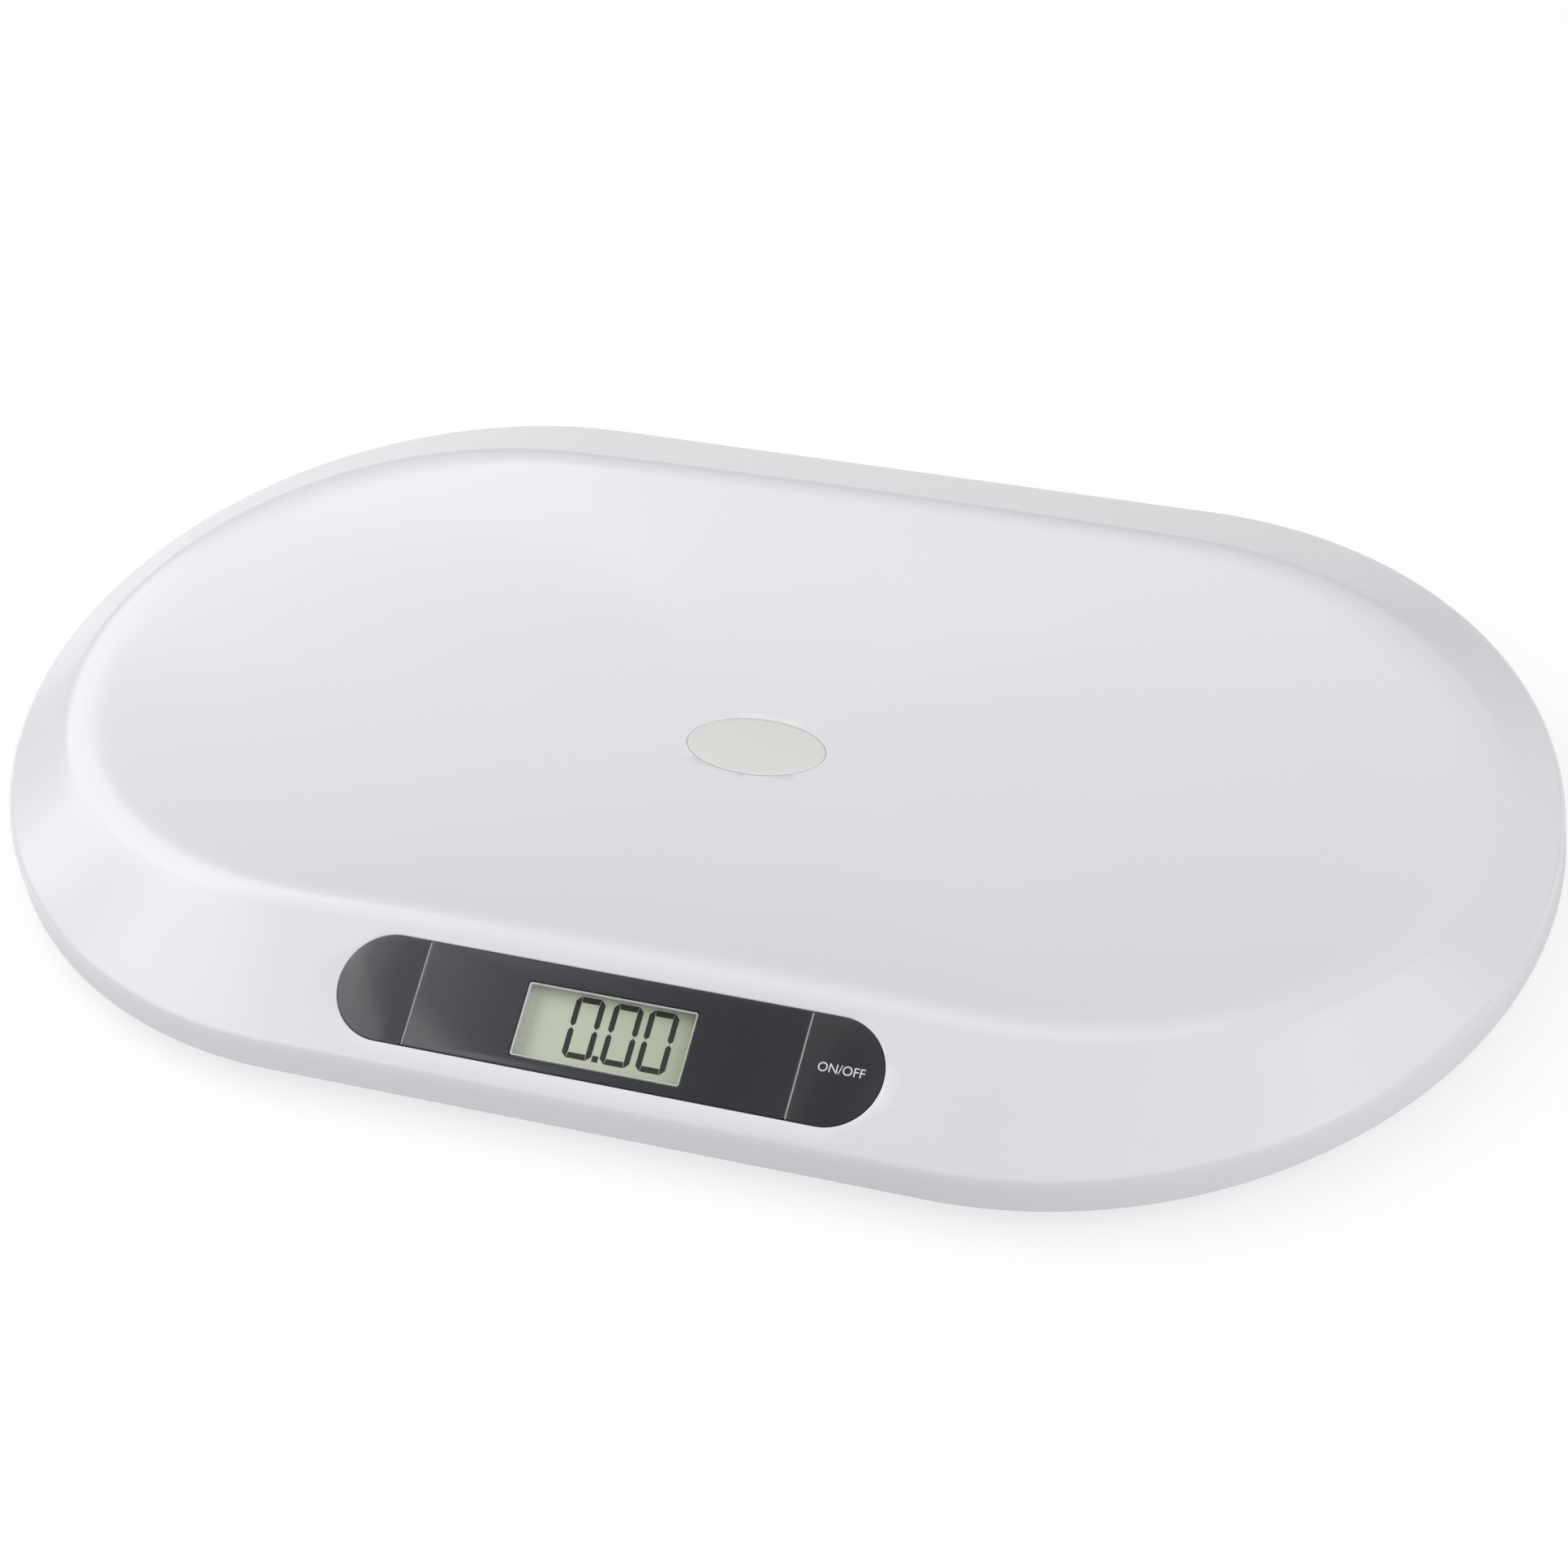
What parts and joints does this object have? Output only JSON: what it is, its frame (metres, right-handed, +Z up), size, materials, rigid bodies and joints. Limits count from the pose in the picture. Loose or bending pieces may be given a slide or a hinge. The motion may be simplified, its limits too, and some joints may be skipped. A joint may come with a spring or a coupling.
{
  "type": "baby weighing scale",
  "caption": "Low oval weighing tray with a dished top, a sloped display panel with press keys at its ends, round weighing feet underneath and a hinged battery door.",
  "frame": {"origin": "on the table, under the middle of the tray's oval outline", "axes": "+X along the tray towards the power key, -Y towards the user and the display panel, +Z up"},
  "size_m": [0.55, 0.32, 0.0446],
  "materials": {
    "gloss_white_abs": "polished moulded ABS",
    "matte_white_abs": "fine-textured moulded ABS",
    "dark_gloss_acrylic": "polished dark acrylic",
    "clear_acrylic": "clear, polished",
    "display_glass": "grey-green liquid crystal cell",
    "grey_rubber": "matt rubber",
    "bare_steel": "bare steel",
    "nickel_plate": "nickel-plated steel",
    "board_green": "solder mask",
    "black_plastic": "moulded, matt",
    "gauge_epoxy": "cast epoxy",
    "badge_warm_white": "satin inlay",
    "battery_wrap": "printed sleeve",
    "lead_grey": "soft sleeve",
    "lead_red": "soft sleeve",
    "lead_black": "soft sleeve"
  },
  "bodies": {
    "housing": {"badge_plate": "badge_warm_white", "base_cover": "matte_white_abs", "battery_1": "battery_wrap", "battery_2": "battery_wrap", "battery_3": "battery_wrap", "battery_4": "battery_wrap", "battery_contact_front_left": "nickel_plate", "battery_contact_front_middle": "nickel_plate", "battery_contact_front_right": "nickel_plate", "battery_contact_rear_left": "nickel_plate", "battery_contact_rear_right": "nickel_plate", "battery_lead_black": "lead_black", "battery_lead_red": "lead_red", "cell_lead_front_left": "lead_grey", "cell_lead_front_right": "lead_grey", "cell_lead_rear_left": "lead_grey", "cell_lead_rear_right": "lead_grey", "controller_chip": "black_plastic", "crystal_can": "bare_steel", "display_window": "clear_acrylic", "fascia_panel": "dark_gloss_acrylic", "foot_cup_front_left": "matte_white_abs", "foot_cup_front_right": "matte_white_abs", "foot_cup_rear_left": "matte_white_abs", "foot_cup_rear_right": "matte_white_abs", "foot_pad_front_left": "grey_rubber", "foot_pad_front_right": "grey_rubber", "foot_pad_rear_left": "grey_rubber", "foot_pad_rear_right": "grey_rubber", "housing_screw_1": "bare_steel", "housing_screw_2": "bare_steel", "housing_screw_3": "bare_steel", "housing_screw_4": "bare_steel", "housing_screw_5": "bare_steel", "housing_screw_6": "bare_steel", "lcd_glass": "display_glass", "lcd_holder": "black_plastic", "load_cell_bracket_front_left": "black_plastic", "load_cell_bracket_front_right": "black_plastic", "load_cell_bracket_rear_left": "black_plastic", "load_cell_bracket_rear_right": "black_plastic", "load_cell_front_left": "bare_steel", "load_cell_front_right": "bare_steel", "load_cell_rear_left": "bare_steel", "load_cell_rear_right": "bare_steel", "main_board": "board_green", "panel_carrier": "matte_white_abs", "power_switch_body": "black_plastic", "strain_gauge_front_left": "gauge_epoxy", "strain_gauge_front_right": "gauge_epoxy", "strain_gauge_rear_left": "gauge_epoxy", "strain_gauge_rear_right": "gauge_epoxy", "tray_shell": "gloss_white_abs", "unit_switch_body": "black_plastic", "zebra_strip": "grey_rubber"},
    "unit_button": {"unit_button": "dark_gloss_acrylic", "unit_switch_plunger": "grey_rubber"},
    "power_button": {"power_button": "dark_gloss_acrylic", "power_switch_plunger": "grey_rubber"},
    "battery_door": {"battery_door": "matte_white_abs"}
  },
  "joints": [
    {"name": "unit_button_press", "type": "slide", "parent": "housing", "child": "unit_button", "axis": [0, 0.4226, -0.9063], "range_m": [0, 0.0005], "stiffness_N_per_m": 3500},
    {"name": "power_button_press", "type": "slide", "parent": "housing", "child": "power_button", "axis": [0, 0.4226, -0.9063], "range_m": [0, 0.0005], "stiffness_N_per_m": 3500},
    {"name": "battery_door_hinge", "type": "hinge", "parent": "housing", "child": "battery_door", "pos_m": [0, 0.0266, 0.011], "axis": [1, 0, 0], "range_deg": [0, 95]}
  ]
}
